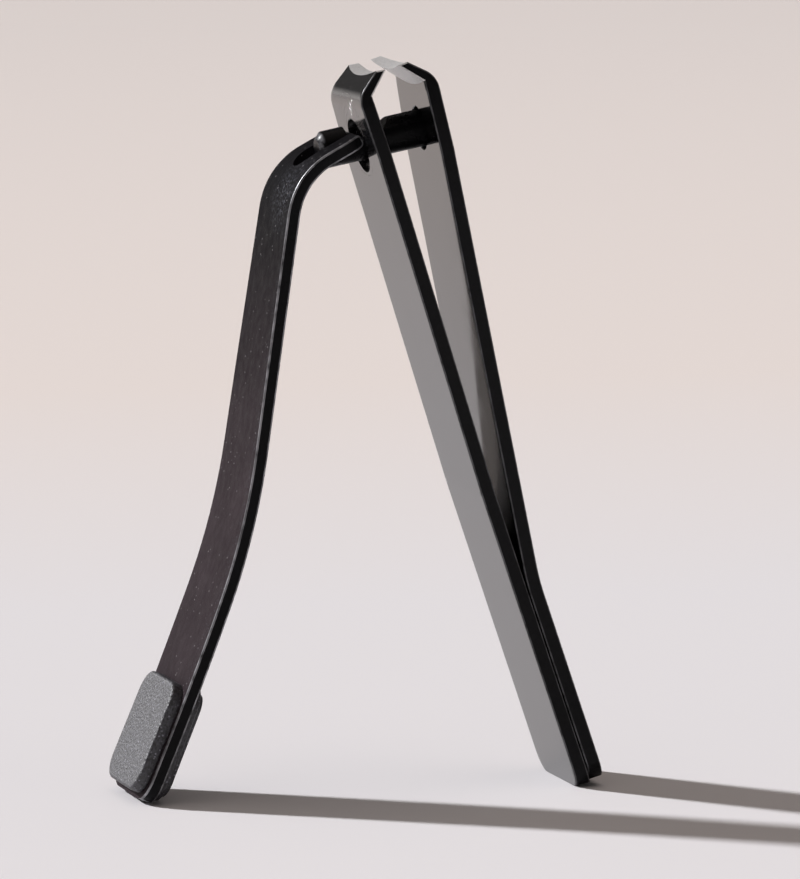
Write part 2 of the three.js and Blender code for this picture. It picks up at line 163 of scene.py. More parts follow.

# places that the frame's joints give, and the middles of worn areas in millimetres; the lever's bend also
# centres a painted highlight
JOINTS = {joint["name"]: joint for joint in frame["joints"]}
PIN_START = Vector(JOINTS["pin_turn"]["pos_m"])
PIN_AXIS = Vector(JOINTS["pin_turn"]["axis"])
BAR = Vector(JOINTS["lever_press"]["pos_m"])
PIN_END_MM = tuple(PIN_START / MM + PIN_AXIS * PIN_LENGTH)
ARM_HOLE_MM = tuple(BAR / MM - PIN_AXIS)
LEVER_BEND_MM = tuple(BAR / MM + Vector((-8.2, -3, -5.5)))

# ---------- camera, light and floor ----------

def direction(azimuth, elevation):
    """Unit vector from the object towards a viewer."""
    flat = math.cos(elevation)
    return Vector((math.sin(azimuth) * flat, -math.cos(azimuth) * flat, math.sin(elevation)))


def aim_at(obj, target):
    obj.rotation_euler = (target - obj.location).to_track_quat("-Z", "Y").to_euler()


def add_camera():
    data = bpy.data.cameras.new("camera")
    data.lens = CAMERA_LENS_MM
    data.sensor_width = SENSOR_MM
    camera = bpy.data.objects.new("camera", data)
    SCENE.collection.objects.link(camera)
    camera.location = AIM + direction(CAMERA_AZIMUTH, CAMERA_ELEVATION) * CAMERA_DISTANCE
    aim_at(camera, AIM)
    SCENE.camera = camera


def add_key():
    """One soft-edged key from behind on the lever's side, so the shadows run to the right."""
    data = bpy.data.lights.new("key", "SUN")
    data.energy = KEY_STRENGTH
    data.angle = KEY_SOFTNESS
    data.color = KEY_COLOUR
    light = bpy.data.objects.new("key", data)
    SCENE.collection.objects.link(light)
    light.location = AIM + direction(KEY_AZIMUTH, KEY_ELEVATION)
    aim_at(light, AIM)


def add_top_light():
    """A large warm softbox overhead."""
    data = bpy.data.lights.new("top", "AREA")
    data.shape = "RECTANGLE"
    data.size = data.size_y = TOP_SIZE
    data.energy = TOP_WATTS
    data.color = TOP_COLOUR
    light = bpy.data.objects.new("top", data)
    SCENE.collection.objects.link(light)
    light.location = AIM + direction(0, TOP_TILT) * TOP_HEIGHT
    aim_at(light, AIM)


def add_surroundings():
    """Pale walls round the horizon under a dark ceiling, so that glossy black reads as black."""
    world = bpy.data.worlds.new("studio")
    world.use_nodes = True
    tree = world.node_tree
    height = tree.nodes.new("ShaderNodeSeparateXYZ")
    tree.links.new(tree.nodes.new("ShaderNodeTexCoord").outputs["Generated"], height.inputs[0])
    fade = tree.nodes.new("ShaderNodeMapRange")
    tree.links.new(height.outputs["Z"], fade.inputs["Value"])
    levels = (*CEILING_FADE, WALL_LIGHT, CEILING_LIGHT)
    for socket, value in zip(("From Min", "From Max", "To Min", "To Max"), levels):
        fade.inputs[socket].default_value = value
    background = tree.nodes["Background"]
    background.inputs["Color"].default_value = WALL_COLOUR
    tree.links.new(fade.outputs["Result"], background.inputs["Strength"])
    SCENE.world = world


def add_lights():
    SCENE.view_settings.view_transform = "Standard"
    add_key()
    add_top_light()
    add_surroundings()


def add_floor():
    mesh = bpy.data.meshes.new("floor")
    corners = [(x * FLOOR_HALF, y * FLOOR_HALF, 0) for x, y in ((-1, -1), (1, -1), (1, 1), (-1, 1))]
    mesh.from_pydata(corners, [], [(0, 1, 2, 3)])
    floor = bpy.data.objects.new("floor", mesh)
    SCENE.collection.objects.link(floor)
    floor.location.z = -FLOOR_DROP
    floor.data.materials.append(floor_material())


# ---------- materials ----------

class Nodes:
    """A short way to write a material's node tree. `mm` is the object's own coordinates in millimetres."""

    def __init__(self, name):
        self.material = bpy.data.materials.new(name)
        self.material.use_nodes = True
        self.tree = self.material.node_tree
        self.shader = self.tree.nodes["Principled BSDF"]
        place = self.tree.nodes.new("ShaderNodeTexCoord").outputs["Object"]
        self.mm = self.vector("SCALE", place, scale=1000)

    def add(self, kind, values=(), **settings):
        made = self.tree.nodes.new(kind)
        for key, value in settings.items():
            setattr(made, key, value)
        for socket, value in dict(values).items():
            self.put(made.inputs[socket], value)
        return made

    def put(self, socket, value):
        if isinstance(value, bpy.types.NodeSocket):
            self.tree.links.new(value, socket)
        else:
            socket.default_value = value

    def set(self, **values):
        for name, value in values.items():
            self.put(self.shader.inputs[name.replace("_", " ")], value)

    def vector(self, operation, a, b=None, scale=None):
        made = self.add("ShaderNodeVectorMath", {0: a}, operation=operation)
        if b is not None:
            self.put(made.inputs[1], b)
        if scale is not None:
            self.put(made.inputs["Scale"], scale)
        return made.outputs["Vector"]

    def math(self, operation, a, b=0.0, clamp=False):
        return self.add("ShaderNodeMath", {0: a, 1: b}, operation=operation, use_clamp=clamp).outputs[0]

    def axis(self, name):
        return self.add("ShaderNodeSeparateXYZ", {0: self.mm}).outputs[name]

    def stretched(self, factors):
        return self.vector("MULTIPLY", self.mm, b=factors)

    def noise(self, scale, detail=3.0, vector=None):
        values = {"Vector": vector or self.mm, "Scale": scale, "Detail": detail}
        return self.add("ShaderNodeTexNoise", values).outputs["Fac"]

    def cells(self, scale, vector=None):
        values = {"Vector": vector or self.mm, "Scale": scale}
        return self.add("ShaderNodeTexVoronoi", values).outputs["Distance"]

    def ramp(self, value, low, high, start=0.0, end=1.0):
        values = {"Value": value, "From Min": low, "From Max": high, "To Min": start, "To Max": end}
        return self.add("ShaderNodeMapRange", values).outputs["Result"]

    def distance(self, centre):
        made = self.add("ShaderNodeVectorMath", {0: self.mm, 1: centre}, operation="DISTANCE")
        return made.outputs["Value"]

    def near(self, centre, inner, outer):
        """1 within `inner` mm of a point and 0 beyond `outer` mm."""
        return self.ramp(self.distance(centre), inner, outer, 1, 0)

    def mix(self, factor, a, b):
        made = self.add("ShaderNodeMix", {0: factor}, data_type="RGBA")
        self.put(made.inputs[6], a)
        self.put(made.inputs[7], b)
        return made.outputs[2]

    def bump(self, height, distance_mm, strength=1.0, after=None):
        values = {"Height": height, "Distance": distance_mm * MM, "Strength": strength}
        if after is not None:
            values["Normal"] = after
        return self.add("ShaderNodeBump", values).outputs["Normal"]


def floor_material():
    n = Nodes("floor_pale")
    depth = n.ramp(n.axis("Y"), 150, 420)
    n.set(Base_Color=n.mix(depth, (0.78, 0.765, 0.78, 1), (0.80, 0.735, 0.70, 1)),
          Roughness=0.85,
          IOR=1.22)
    n.put(n.shader.inputs["Normal"], n.bump(n.noise(2.5, 4), 0.02, 0.15))
    return n.material


def scratches(n, turn, scale=0.5):
    """Thin lines, most of them along one direction of the arm."""
    turned = n.add("ShaderNodeVectorRotate", {"Vector": n.mm, "Angle": turn}, rotation_type="Y_AXIS")
    streaks = n.noise(scale, 6, n.vector("MULTIPLY", turned.outputs[0], b=(6, 9, 0.35)))
    return n.ramp(streaks, 0.64, 0.70)


def ring_scratches(n, centre, inner, outer):
    """Broken circular scratches round a point, between two distances in millimetres."""
    wander = n.math("MULTIPLY", n.noise(0.25, 2), 6)
    wave = n.math("SINE", n.math("ADD", n.math("MULTIPLY", n.distance(centre), 9), wander))
    lines = n.math("MULTIPLY", n.ramp(wave, 0.80, 0.95), n.ramp(n.noise(0.7, 3), 0.48, 0.56))
    return n.math("MULTIPLY", lines, n.near(centre, inner, outer))


def arm_face_material():
    """Glossy black coating on the arms' broad faces, with scuffs and circular scratches round the hole."""
    n = Nodes("arm_gloss_black")
    cloud = n.noise(0.25, 3)
    worn = n.math("MULTIPLY", n.near(ARM_HOLE_MM, 3.2, 8), scratches(n, 0.6, 0.8))
    fine = n.math("MULTIPLY", scratches(n, 0.3), 0.25)
    ring = ring_scratches(n, ARM_HOLE_MM, 4.0, 5.6)
    marks = n.math("MAXIMUM", worn, fine)
    n.set(Base_Color=n.mix(marks, (0.006, 0.006, 0.007, 1), (0.10, 0.10, 0.11, 1)),
          Roughness=n.math("ADD", n.ramp(cloud, 0.3, 0.7, 0.07, 0.13), n.math("MULTIPLY", marks, 0.2)),
          IOR=1.92)
    soft = n.bump(n.noise(0.6, 2), 0.01, 0.25)
    n.put(n.shader.inputs["Normal"], n.bump(ring, 0.06, 0.9, after=soft))
    return n.material


def arm_edge_material():
    """Sheared side edges under the same coating: less glossy and near black."""
    n = Nodes("arm_edge_black")
    n.set(Base_Color=n.mix(n.noise(3, 4), (0.003, 0.003, 0.0035, 1), (0.008, 0.008, 0.009, 1)),
          Roughness=n.ramp(n.noise(1.2, 4), 0.3, 0.7, 0.28, 0.42),
          IOR=1.2)
    n.put(n.shader.inputs["Normal"], n.bump(n.noise(4, 3, n.stretched((1, 8, 1))), 0.01, 0.4))
    return n.material


def ground_steel_material():
    """Bare steel where the jaws are ground, with fine lines along the wheel's path."""
    n = Nodes("ground_steel")
    lines = n.noise(1.6, 5, n.stretched((2, 14, 2)))
    tone = n.ramp(lines, 0.3, 0.7)
    n.set(Base_Color=n.mix(tone, (0.56, 0.555, 0.55, 1), (0.86, 0.85, 0.84, 1)),
          Metallic=0.5,
          Roughness=n.ramp(lines, 0.3, 0.7, 0.26, 0.44))
    n.put(n.shader.inputs["Normal"], n.bump(lines, 0.02, 0.4))
    return n.material


def lever_material():
    """Satin charcoal coating with painted glints, painted shade darkening it towards the bend and scuffs with
    a painted highlight there.
    """
    n = Nodes("lever_satin")
    # painted glints: rare pale dots mixed into the coating's colour
    painted_glints = n.math("MULTIPLY", n.ramp(n.cells(1.15), 0.13, 0.05), n.ramp(n.noise(0.35, 3), 0.44, 0.54))
    near_edge = n.ramp(n.axis("Y"), -4.6, -6.4)
    pits = n.math("MULTIPLY", n.ramp(n.noise(5, 4), 0.60, 0.68), near_edge)
    full = n.mix(n.noise(0.16, 4), (0.018, 0.013, 0.015, 1), (0.044, 0.033, 0.038, 1))
    # painted shade: the coating darkens to near black from 34 mm up to 62 mm, towards the bend
    base = n.mix(n.ramp(n.axis("Z"), 34, 62, 0, 0.95), full, (0.004, 0.004, 0.005, 1))
    # scuffs round the lever's bend that also serve as a painted highlight near the slot's end
    scuffs_and_highlight = n.math("MULTIPLY", n.near(LEVER_BEND_MM, 1.0, 6), n.ramp(n.noise(3.2, 8), 0.50, 0.68))
    base = n.mix(n.math("MULTIPLY", n.math("MAXIMUM", scuffs_and_highlight, pits), 0.5), base, (0.16, 0.165, 0.19, 1))
    base = n.mix(n.math("MULTIPLY", painted_glints, 0.7), base, (0.42, 0.40, 0.41, 1))
    n.set(Base_Color=base,
          Roughness=n.ramp(n.noise(0.8, 5), 0.3, 0.7, 0.38, 0.52),
          IOR=1.07)
    n.put(n.shader.inputs["Normal"], n.bump(n.noise(4.5, 4), 0.03, 0.8))
    return n.material


def lever_edge_material():
    """The lever's sides and nose, under the same coating but glossier and near black."""
    n = Nodes("lever_edge_black")
    n.set(Base_Color=n.mix(n.noise(3, 4), (0.002, 0.002, 0.0025, 1), (0.007, 0.007, 0.008, 1)),
          Roughness=n.ramp(n.noise(1.2, 4), 0.3, 0.7, 0.26, 0.40),
          IOR=1.16)
    n.put(n.shader.inputs["Normal"], n.bump(n.noise(4, 3), 0.008, 0.4))
    return n.material


def worn_edge_highlight_material(name, steel_and_highlight):
    """Rounded edges where handling has thinned the coating, paler still as a painted highlight; the last
    argument sets how pale the worn, highlighted patches are.
    """
    n = Nodes(name)
    bare_and_highlight = n.ramp(n.noise(0.9, 7), 0.25, 0.62)
    n.set(Base_Color=n.mix(bare_and_highlight, (0.012, 0.012, 0.013, 1), (steel_and_highlight, steel_and_highlight, steel_and_highlight * 1.06, 1)),
          Metallic=0.5,
          Roughness=n.ramp(bare_and_highlight, 0, 1, 0.28, 0.40))
    return n.material


def pin_material():
    """Satin black, with the coating worn off the end's chamfer."""
    n = Nodes("pin_satin_black")
    rim = n.math("SUBTRACT", n.near(PIN_END_MM, 1.9, 2.2), n.near(PIN_END_MM, 1.2, 1.5), clamp=True)
    rub = n.math("MULTIPLY", rim, n.ramp(n.noise(1.2, 4), 0.40, 0.6))
    n.set(Base_Color=n.mix(rub, (0.002, 0.002, 0.0025, 1), (0.14, 0.14, 0.15, 1)),
          Roughness=n.ramp(n.noise(1.5, 4), 0.3, 0.7, 0.24, 0.38),
          IOR=1.17)
    n.put(n.shader.inputs["Normal"], n.bump(n.noise(3, 3), 0.01, 0.4))
    return n.material


def pad_material():
    """Soft rubber with a fine grain and pale flecks of dust."""
    n = Nodes("pad_rubber")
    grain = n.noise(3.2, 3)
    flecks = n.math("MULTIPLY", n.ramp(n.cells(2.3), 0.30, 0.12), n.ramp(n.noise(1.1, 2), 0.40, 0.56))
    base = n.mix(n.ramp(grain, 0.36, 0.64), (0.006, 0.006, 0.008, 1), (0.036, 0.036, 0.046, 1))
    base = n.mix(n.math("MULTIPLY", flecks, 0.7), base, (0.26, 0.26, 0.31, 1))
    n.set(Base_Color=base, Roughness=0.5, IOR=1.66)
    n.put(n.shader.inputs["Normal"], n.bump(grain, 0.16, 0.9))
    return n.material


# ---------- places ----------

def middle(node):
    low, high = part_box(node)
    return (low + high) / 2


def spatial(flat):
    """A side-view point or direction in space."""
    return Vector((flat.x, 0, flat.y))


# ---------- plane geometry, in millimetres: x and z of the side view ----------

def leaning(degrees):
    """Unit vector that leans away from +Z towards -X."""
    turn = math.radians(degrees)
    return Vector((-math.sin(turn), math.cos(turn)))


def on_line_at(start, way, z):
    return start + way * ((z - start.y) / way.y)


def crossing(a, way_a, b, way_b):
    """Where two lines meet."""
    share = (b - a).cross(way_b) / way_a.cross(way_b)
    return a + way_a * share


def stretch(a, b, steps):
    """Points from a up to but not including b."""
    return [a.lerp(b, step / steps) for step in range(steps)]


def arc_at(corner, before, after, radius, steps):
    """Points of the arc that rounds a corner between two unit directions of travel."""
    turn = before.angle_signed(after)
    reach = radius * math.tan(abs(turn) / 2)
    side = math.copysign(1, -turn)
    centre = corner - before * reach + Vector((-before.y, before.x)) * radius * side
    points = []
    for step in range(steps + 1):
        spoke = (corner - before * reach) - centre
        spoke.rotate(mathutils.Matrix.Rotation(-turn * step / steps, 2))
        points.append(centre + spoke)
    return points


def inset(loop, depth):
    """The closed outline moved inwards by a depth, with mitred corners."""
    area = sum(a.cross(b) for a, b in zip(loop, loop[1:] + loop[:1]))
    inward = math.copysign(1, area)
    moved = []
    for i, at in enumerate(loop):
        before = (at - loop[i - 1]).normalized()
        after = (loop[(i + 1) % len(loop)] - at).normalized()
        normals = [Vector((-way.y, way.x)) * inward for way in (before, after)]
        mitre = (normals[0] + normals[1]).normalized()
        moved.append(at + mitre * depth / max(mitre.dot(normals[0]), LEAST_MITRE))
    return moved


def corner_drop(distance, radius):
    """How much narrower a strip with round corners is at a distance from its end."""
    short = max(radius - max(distance, 0), 0)
    return radius - math.sqrt(max(radius * radius - short * short, 0))


# ---------- closed meshes ----------

def closed_mesh(name, bm):
    """The finished bmesh as a mesh, with its normals outwards."""
    bmesh.ops.recalc_face_normals(bm, faces=bm.faces)
    mesh = bpy.data.meshes.new(name)
    bm.to_mesh(mesh)
    bm.free()
    return mesh


def stacked(name, rings):
    """A closed solid from rings of equally many points, capped at both ends."""
    bm = bmesh.new()
    rows = [[bm.verts.new(point) for point in ring] for ring in rings]
    for low, high in zip(rows, rows[1:]):
        for k in range(len(low)):
            bm.faces.new((low[k - 1], low[k], high[k], high[k - 1]))
    bm.faces.new(rows[0])
    bm.faces.new(rows[-1])
    return closed_mesh(name, bm)


def revolve(name, profile, start, axis, sides):
    """A solid of revolution from (radius, distance along the axis) points, in millimetres."""
    turn = axis.to_track_quat("Z", "Y")
    angles = [2 * math.pi * k / sides for k in range(sides)]
    spokes = [Vector((math.cos(angle), math.sin(angle), 0)) for angle in angles]
    return stacked(name, [[start + turn @ (spoke * radius + Vector((0, 0, along))) * MM for spoke in spokes]
                          for radius, along in profile])


def prism(name, outline, half_depth, origin, across, up, through):
    """A prism from (across, up) points in millimetres, evenly to both sides of its plane."""
    return stacked(name, [[origin + (across * x + up * y + through * depth) * MM for x, y in outline]
                          for depth in (-half_depth, half_depth)])


def columns(steps, rounding):
    """Across a strip: share of the half width, how far past it, and how deep the outline is inset."""
    turns = [math.pi / 2 * k / ROUND_STEPS for k in range(1, ROUND_STEPS + 1)]
    edge = [(1, rounding * math.sin(turn), rounding * (1 - math.cos(turn))) for turn in turns]
    inner = [(2 * k / steps - 1, 0, 0) for k in range(steps + 1)]
    return [(-share, -past, deep) for share, past, deep in reversed(edge)] + inner + edge


def strip_mesh(name, outline, half_width, caps, steps, rounding, finish, materials):
    """A strip: a side profile swept across the width, with round edges.

    `outline(share)` gives the closed side profile at a share of the half width, `half_width(point)`
    the strip's half width there, `caps` the profile points of each face of the two sides,
    and `finish(a, b)` the material of the faces between two neighbouring profile points.
    """
    bm = bmesh.new()
    loops = []
    for share, past, deep in columns(steps, rounding):
        loops.append([])
        for point in inset(outline(share), deep):
            y = share * (half_width(point) - rounding) + past
            loops[-1].append(bm.verts.new(Vector((point.x, y, point.y)) * MM))
    count = len(loops[0])
    for column, (near, far) in enumerate(zip(loops, loops[1:])):
        rounded = column < ROUND_STEPS or column >= len(loops) - 1 - ROUND_STEPS
        for i in range(count):
            face = bm.faces.new((near[i - 1], near[i], far[i], far[i - 1]))
            slot = finish((i - 1) % count, i)
            # the rounded edges take the worn coating with a painted highlight
            face.material_index = WORN_HIGHLIGHT if rounded and slot == FACE else slot
    for loop in (loops[0], loops[-1]):
        for corners in caps:
            bm.faces.new([loop[i] for i in corners]).material_index = EDGE
    mesh = closed_mesh(name, bm)
    for material in materials:
        mesh.materials.append(material)
    return mesh


def cut_away(mesh, tool_mesh):
    """The mesh with the tool's volume taken out, and with the slivers that leaves removed."""
    work = bpy.data.objects.new("work", mesh)
    tool = bpy.data.objects.new("tool", tool_mesh)
    SCENE.collection.objects.link(work)
    SCENE.collection.objects.link(tool)
    cut = work.modifiers.new("cut", "BOOLEAN")
    cut.operation = "DIFFERENCE"
    cut.solver = "EXACT"
    cut.material_mode = "INDEX"
    cut.object = tool
    result = bpy.data.meshes.new_from_object(work.evaluated_get(bpy.context.evaluated_depsgraph_get()))
    bpy.data.objects.remove(work)
    bpy.data.objects.remove(tool)
    bm = bmesh.new()
    bm.from_mesh(result)
    bmesh.ops.remove_doubles(bm, verts=bm.verts, dist=SLIVER)
    bmesh.ops.dissolve_degenerate(bm, edges=bm.edges, dist=SLIVER)
    bm.to_mesh(result)
    bm.free()
    return result


def finish_piece(name, mesh, node):
    """A piece that stands for a CAD node, smooth but for its sharp edges."""
    for face in mesh.polygons:
        face.use_smooth = True
    mesh.set_sharp_from_angle(angle=SHARP_ANGLE)
    piece = bpy.data.objects.new(name, mesh)
    SCENE.collection.objects.link(piece)
    weighted = piece.modifiers.new("weighted normals", "WEIGHTED_NORMAL")
    weighted.keep_sharp = True
    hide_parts(node)
    return piece


# ---------- blade arms ----------

class Arm:
    """One blade arm's side view. `side` is +1 where the other arm lies towards +X, and -1 otherwise."""

    def __init__(self, rear, bend, jaw, lean, side):
        self.rear, self.bend, self.jaw, self.lean, self.side = rear, bend, jaw, lean, side
        self.inside_rear = leaning(REAR_LEAN - side * 90)
        self.inside = leaning(lean - side * 90)
        start = jaw + self.inward(JAW_TURN) * JAW_LENGTH
        self.tip = start + self.inward(TIP_GRIND_TURN) * TIP_GRIND_LENGTH

    def inward(self, degrees):
        return leaning(self.lean - self.side * degrees)

    def outline(self, share):
        """Outer points from the rear to the jaw, then the tip, then the inner points back to the rear."""
        way_rear, way = leaning(REAR_LEAN), leaning(self.lean)
        rise = leaning((UPPER_LEAN + LOWER_LEAN) / 2)
        tip = self.tip - rise * EDGE_HOLLOW * (1 - share * share)
        ground_out = crossing(tip, self.inward(TIP_GRIND_TURN), self.jaw, self.inward(JAW_TURN))
        inner_line = self.jaw + self.inside * ARM_THICKNESS
        ground_in = crossing(tip, self.inward(INNER_GRIND_TURN), inner_line, way)
        mitre = (self.inside_rear + self.inside).normalized()
        inner_bend = self.bend + mitre * ARM_THICKNESS / mitre.dot(self.inside)
        inner_rear = self.rear + self.inside_rear * ARM_THICKNESS
        jaw_arc = arc_at(self.jaw, way, self.inward(JAW_TURN), JAW_TURN_RADIUS, JAW_ARC_STEPS)
        bend_out = arc_at(self.bend, way_rear, way, ARM_BEND_RADIUS, BEND_STEPS)
        bend_in = arc_at(inner_bend, way_rear, way, ARM_BEND_RADIUS, BEND_STEPS)
        outer = [*self.rear_stretch(self.rear, bend_out[0]), *bend_out[:-1],
                 *stretch(bend_out[-1], jaw_arc[0], STRAIGHT_STEPS), *jaw_arc, ground_out]
        opposite = jaw_arc[0] + self.inside * ARM_THICKNESS
        inner = [*self.rear_stretch(inner_rear, bend_in[0]), *bend_in[:-1],
                 *stretch(bend_in[-1], opposite, STRAIGHT_STEPS),
                 *stretch(opposite, ground_in, JAW_ARC_STEPS + 1), ground_in]
        return [*outer, tip, *reversed(inner)]

    def rear_stretch(self, start, end):
        """Close stations round the rear corners, then even ones up to the bend."""
        way = (end - start).normalized()
        turns = [math.pi / 2 * k / REAR_CORNER_STEPS for k in range(REAR_CORNER_STEPS)]
        span = REAR_CLOSE_SPAN * REAR_CORNER_RADIUS
        close = [start + way * span * (1 - math.cos(turn)) for turn in turns]
        return close + stretch(start + way * span, end, STRAIGHT_STEPS)

    def half_width(self, point):
        taper = (ARM_WIDTH - JAW_EDGE_WIDTH) / 2 / (JAW_TOP_Z + CUT_OVERRUN - TAPER_START_Z)
        narrowed = softened(point.y - TAPER_START_Z, TAPER_SOFTNESS) * taper
        return ARM_WIDTH / 2 - narrowed - corner_drop(point.y - self.rear.y, REAR_CORNER_RADIUS)


def softened(value, reach):
    """0 below -reach and the value itself above it, with a smooth turn between."""
    if value <= -reach:
        return 0
    return value if value >= reach else (value + reach) ** 2 / (4 * reach)


def arm_mesh(name, arm, materials):
    count = len(arm.outline(0))
    tip = count // 2

    def finish(a, b):
        if tip in (a, b):
            return GROUND
        return EDGE if {a, b} == {0, count - 1} else FACE

    ladder = [(k, k + 1, count - 2 - k, count - 1 - k) for k in range(tip - 1)]
    return strip_mesh(name, arm.outline, arm.half_width, [*ladder, (tip - 1, tip, tip + 1)],
                      ARM_COLUMNS, ARM_ROUNDING, finish, materials)


def hole_cutter(centre, axis, radius):
    """A cutter with a small countersink at both faces of an arm. The centre lies on the outer face."""
    flare = radius + HOLE_COUNTERSINK
    profile = [(flare + CUT_OVERRUN, -ARM_THICKNESS - CUT_OVERRUN - HOLE_COUNTERSINK),
               (flare, -ARM_THICKNESS),
               (radius, -ARM_THICKNESS + HOLE_COUNTERSINK),
               (radius, -HOLE_COUNTERSINK),
               (flare, 0),
               (flare + CUT_OVERRUN, CUT_OVERRUN)]
    return revolve("cutter", profile, centre, axis, PIN_SIDES)


def add_arms():
    # the arms' rounded edges carry worn coating with a faint painted highlight
    materials = [arm_face_material(), arm_edge_material(), worn_edge_highlight_material("arm_worn_edge_highlight", 0.10),
                 ground_steel_material()]
    upper_way, lower_way = leaning(UPPER_LEAN), leaning(LOWER_LEAN)
    low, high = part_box("upper_arm")
    rear = Vector((high.x / MM - ARM_THICKNESS * math.cos(math.radians(REAR_LEAN)), low.z / MM))
    bend = on_line_at(rear, leaning(REAR_LEAN), UPPER_BEND_Z)
    upper = Arm(rear, bend, on_line_at(bend, upper_way, UPPER_JAW_Z), UPPER_LEAN, 1)
    rear = rear + leaning(REAR_LEAN - 90) * (2 * ARM_THICKNESS + ARM_GAP)
    bend = on_line_at(rear, leaning(REAR_LEAN), LOWER_BEND_Z)
    lower = Arm(rear, bend, on_line_at(bend, lower_way, LOWER_JAW_Z), LOWER_LEAN, -1)

    normal = spatial(leaning(UPPER_LEAN + 90))
    to_face = (spatial(upper.jaw) * MM - PIN_START).dot(normal) / PIN_AXIS.dot(normal)
    centre = PIN_START + PIN_AXIS * to_face - spatial(upper_way) * UPPER_HOLE_DROP * MM
    mesh = arm_mesh("upper_blade", upper, materials)
    mesh = cut_away(mesh, hole_cutter(centre, normal, UPPER_HOLE_RADIUS))
    piece = finish_piece("upper_blade_arm", mesh, "upper_arm")
    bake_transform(piece)
    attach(piece, "upper_arm")

    mesh = arm_mesh("lower_blade", lower, materials)
    mesh = cut_away(mesh, hole_cutter(PIN_START, -PIN_AXIS, LOWER_HOLE_RADIUS))
    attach(finish_piece("lower_blade_arm", mesh, "lower_arm"), "lower_arm")


# ---------- pin ----------

def pin_profile():
    """(radius, distance along the axis) from the domed head to the chamfered end."""
    dome = 1 - PIN_HEAD_RIM
    turns = [math.pi / 2 * (k + PIN_DOME_START) / HEAD_STEPS for k in range(HEAD_STEPS)]
    head = [(PIN_HEAD_RADIUS * math.sin(turn),
             -PIN_HEAD_GAP - PIN_HEAD_HEIGHT * (PIN_HEAD_RIM + dome * math.cos(turn))) for turn in turns]
    rim = [(PIN_HEAD_RADIUS, -PIN_HEAD_GAP - PIN_HEAD_RIM * PIN_HEAD_HEIGHT),
           (PIN_HEAD_RADIUS, -PIN_HEAD_GAP - PIN_HEAD_SOFTENING),
           (PIN_HEAD_RADIUS - PIN_HEAD_SOFTENING, -PIN_HEAD_GAP)]
    end = PIN_LENGTH - PIN_END_CHAMFER
    chamfer_foot = PIN_RADIUS - PIN_END_CHAMFER
    shank = [(PIN_RADIUS, -PIN_HEAD_GAP), (PIN_RADIUS, end - PIN_EASE_BACK), (PIN_RADIUS - PIN_EASE_IN, end),
             (chamfer_foot + PIN_EASE_IN, PIN_LENGTH - PIN_TIP_BACK), (chamfer_foot - PIN_TIP_IN, PIN_LENGTH)]
    return [*head, *rim, *shank]


def add_pin():
    up = PIN_AXIS.cross(Vector((0, 1, 0)))
    if up.z < 0:
        up = -up
    wall = (BAR - PIN_START).dot(PIN_AXIS) / MM + BAR_RADIUS + NOTCH_WALL_GAP
    top = PIN_RADIUS + CUT_OVERRUN
    notch = [(wall, NOTCH_FLOOR), (wall, top), (NOTCH_RAMP_FROM_FACE - CUT_OVERRUN, top),
             (NOTCH_RAMP_FROM_FACE + PIN_RADIUS - NOTCH_FLOOR, NOTCH_FLOOR)]
    cutter = prism("cutter", notch, 2 * PIN_RADIUS, PIN_START, PIN_AXIS, up, Vector((0, 1, 0)))
    mesh = revolve("pin", pin_profile(), PIN_START, PIN_AXIS, PIN_SIDES)
    mesh.materials.append(pin_material())
    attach(finish_piece("pivot_pin", cut_away(mesh, cutter), "pin"), "pin")


# ---------- lever ----------

def lever_stations():
    """The lever's centreline from the nose to the foot: place, heading and distance."""
    heading = math.radians(180 + NOSE_DROP)
    at = Vector((BAR.x, BAR.z)) / MM + Vector((math.cos(heading), math.sin(heading))) * NOSE_SETBACK
    stations = [(at, heading, 0.0)]
    for length, turn, steps in LEVER_SECTIONS:
        for _ in range(steps):
            at, heading, distance = stations[-1]
            middle_heading = heading + math.radians(turn) / steps / 2
            stride = Vector((math.cos(middle_heading), math.sin(middle_heading))) * length / steps
            stations.append((at + stride, heading + math.radians(turn) / steps, distance + length / steps))
    return stations


def between(value, table):
    """Straight-line reading of a table of (at, value) pairs."""
    for (a, va), (b, vb) in zip(table, table[1:]):
        if value <= b:
            return va + (vb - va) * max(value - a, 0) / (b - a)
    return table[-1][1]


def lever_mesh(materials):
    """A strip whose profile runs down the inner side, back up the outer one and round the nose."""
    stations = lever_stations()
    count, total = len(stations), stations[-1][2]
    half = LEVER_THICKNESS / 2
    normals = [Vector((-math.sin(heading), math.cos(heading))) for _, heading, _ in stations]
    inner, outer = [[at + normal * half * side for (at, _, _), normal in zip(stations, normals)]
                    for side in (-1, 1)]
    nose, heading = stations[0][0], stations[0][1]
    turns = [heading + math.pi / 2 + math.pi * k / NOSE_STEPS for k in range(1, NOSE_STEPS)]
    cap = [nose + Vector((math.cos(turn), math.sin(turn))) * half for turn in turns]
    loop = [*inner, *reversed(outer), *cap]

    along = [distance for _, _, distance in stations]
    front = cap[len(cap) // 2]
    round_nose = [(point - front).length * NOSE_ROUND_SHARE - half for point in cap]
    distances = [*along, *reversed(along), *round_nose]
    widths = [(-half, NOSE_HALF_WIDTH), (NOSE_LENGTH + BEND_LENGTH, BEND_HALF_WIDTH),
              (total * GRIP_AT, GRIP_HALF_WIDTH), (total * FOOT_WIDTH_AT, FOOT_HALF_WIDTH),
              (total, FOOT_HALF_WIDTH)]

    def half_width(point):
        nearest = min(range(len(loop)), key=lambda i: (loop[i] - point).length_squared)
        distance = distances[nearest]
        return (between(distance, widths) - corner_drop(distance + half, NOSE_CORNER_RADIUS)
                - corner_drop(total - distance, FOOT_CORNER_RADIUS))

    ladder = [(k, k + 1, 2 * count - 2 - k, 2 * count - 1 - k) for k in range(count - 1)]
    nose_end = [0, 2 * count - 1, *range(2 * count, len(loop))]
    return strip_mesh("lever", lambda share: loop, half_width, [*ladder, nose_end],
                      LEVER_COLUMNS, LEVER_ROUNDING, lambda a, b: FACE, materials)


